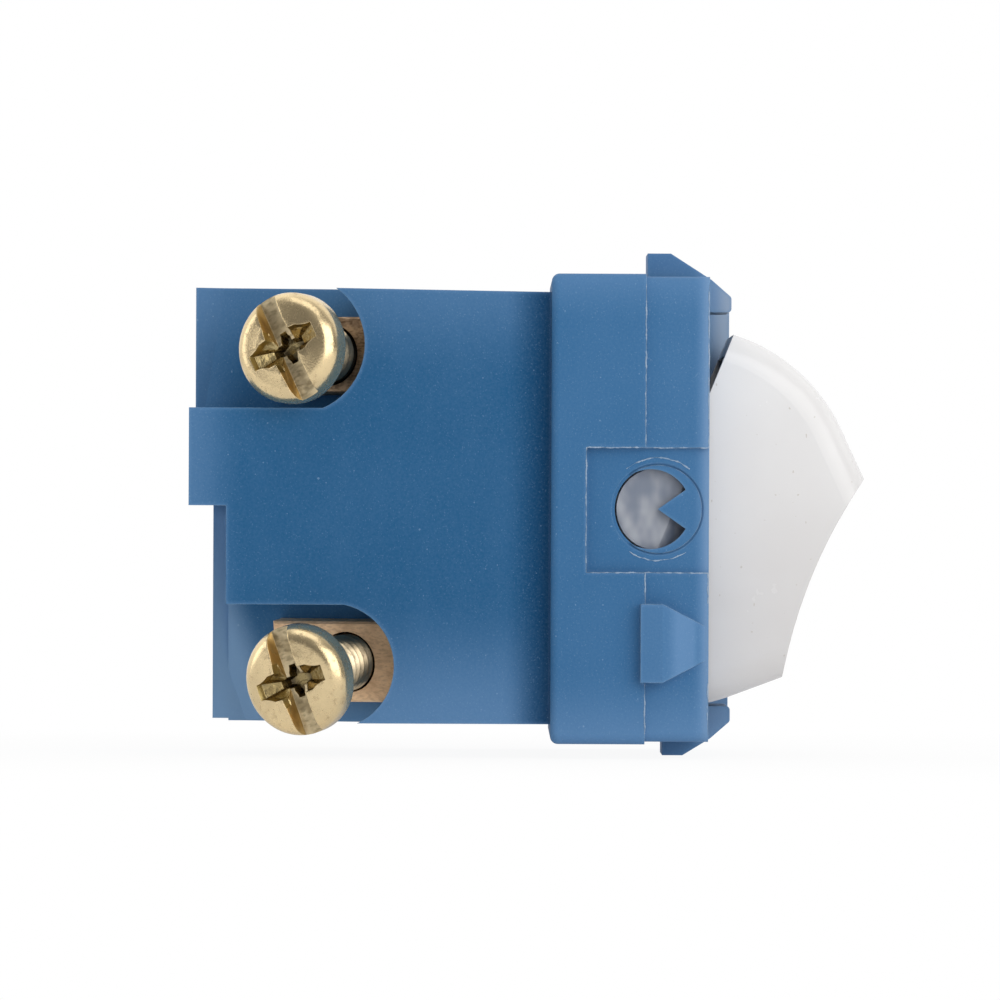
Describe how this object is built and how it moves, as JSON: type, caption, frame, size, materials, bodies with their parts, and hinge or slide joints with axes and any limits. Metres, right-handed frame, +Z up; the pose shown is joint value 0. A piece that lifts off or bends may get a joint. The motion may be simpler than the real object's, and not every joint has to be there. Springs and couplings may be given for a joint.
{
  "type": "double pole rocker switch module",
  "caption": "Snap-in double pole rocker switch module with side screw terminals and a see-saw contact for each pole.",
  "frame": {"origin": "mid width, on the shoulder plane behind the front frame, level with the rocker's pivot", "axes": "+X to the right seen from the front, +Y from the rocker to the rear, +Z up with the line terminals on top"},
  "size_m": [0.032, 0.0346, 0.026],
  "materials": {
    "blue_plastic": "moulded, satin",
    "white_plastic": "moulded, glossy",
    "yellow_plated_steel": "yellow passivated",
    "brass_strip": "rolled",
    "copper_strip": "rolled",
    "contact_metal": "satin",
    "spring_wire": "drawn",
    "grey_plastic": "moulded"
  },
  "bodies": {
    "base": {"housing": "blue_plastic", "front_frame": "blue_plastic", "line_terminal_left": "brass_strip", "line_terminal_right": "brass_strip", "load_terminal_left": "brass_strip", "load_terminal_right": "brass_strip", "fixed_contact_left": "contact_metal", "fixed_contact_right": "contact_metal"},
    "rocker": {"rocker": "white_plastic", "plunger_spring_left": "spring_wire", "plunger_spring_right": "spring_wire"},
    "plunger_left": {"plunger_left": "grey_plastic"},
    "seesaw_left": {"contact_arm_left": "copper_strip", "moving_contact_left": "contact_metal"},
    "line_screw_left": {"line_screw_left": "yellow_plated_steel"},
    "load_screw_left": {"load_screw_left": "yellow_plated_steel"},
    "plunger_right": {"plunger_right": "grey_plastic"},
    "seesaw_right": {"contact_arm_right": "copper_strip", "moving_contact_right": "contact_metal"},
    "line_screw_right": {"line_screw_right": "yellow_plated_steel"},
    "load_screw_right": {"load_screw_right": "yellow_plated_steel"}
  },
  "joints": [
    {"name": "rocker_tilt", "type": "hinge", "parent": "base", "child": "rocker", "pos_m": [0, -0.00546, 0], "axis": [-1, 0, 0], "range_deg": [0, 44.6]},
    {"name": "seesaw_left", "type": "hinge", "parent": "base", "child": "seesaw_left", "pos_m": [-0.0049, 0.0025, 0], "axis": [1, 0, 0], "range_deg": [0, 14.01]},
    {"name": "plunger_left_slide", "type": "slide", "parent": "rocker", "child": "plunger_left", "axis": [0, -0.9252, -0.3795], "range_m": [0, 0.0008], "stiffness_N_per_m": 300, "springref_m": -0.002, "deforming": ["plunger_spring_left"]},
    {"name": "line_screw_left_travel", "type": "slide", "parent": "base", "child": "line_screw_left", "axis": [0.8966, -0.4373, -0.0698], "range_m": [0, 0.0033]},
    {"name": "load_screw_left_travel", "type": "slide", "parent": "base", "child": "load_screw_left", "axis": [0.8964, -0.418, 0.1478], "range_m": [0, 0.0033]},
    {"name": "seesaw_right", "type": "hinge", "parent": "base", "child": "seesaw_right", "pos_m": [0.0049, 0.0025, 0], "axis": [1, 0, 0], "range_deg": [0, 14.01]},
    {"name": "plunger_right_slide", "type": "slide", "parent": "rocker", "child": "plunger_right", "axis": [0, -0.9252, -0.3795], "range_m": [0, 0.0008], "stiffness_N_per_m": 300, "springref_m": -0.002, "deforming": ["plunger_spring_right"]},
    {"name": "line_screw_right_travel", "type": "slide", "parent": "base", "child": "line_screw_right", "axis": [-0.8966, -0.4373, -0.0698], "range_m": [0, 0.0033]},
    {"name": "load_screw_right_travel", "type": "slide", "parent": "base", "child": "load_screw_right", "axis": [-0.8964, -0.418, 0.1478], "range_m": [0, 0.0033]}
  ],
  "couplings": [
    {"joint": "seesaw_left", "follows": "rocker_tilt", "ratio": 0.3139},
    {"joint": "seesaw_right", "follows": "rocker_tilt", "ratio": 0.3139}
  ]
}
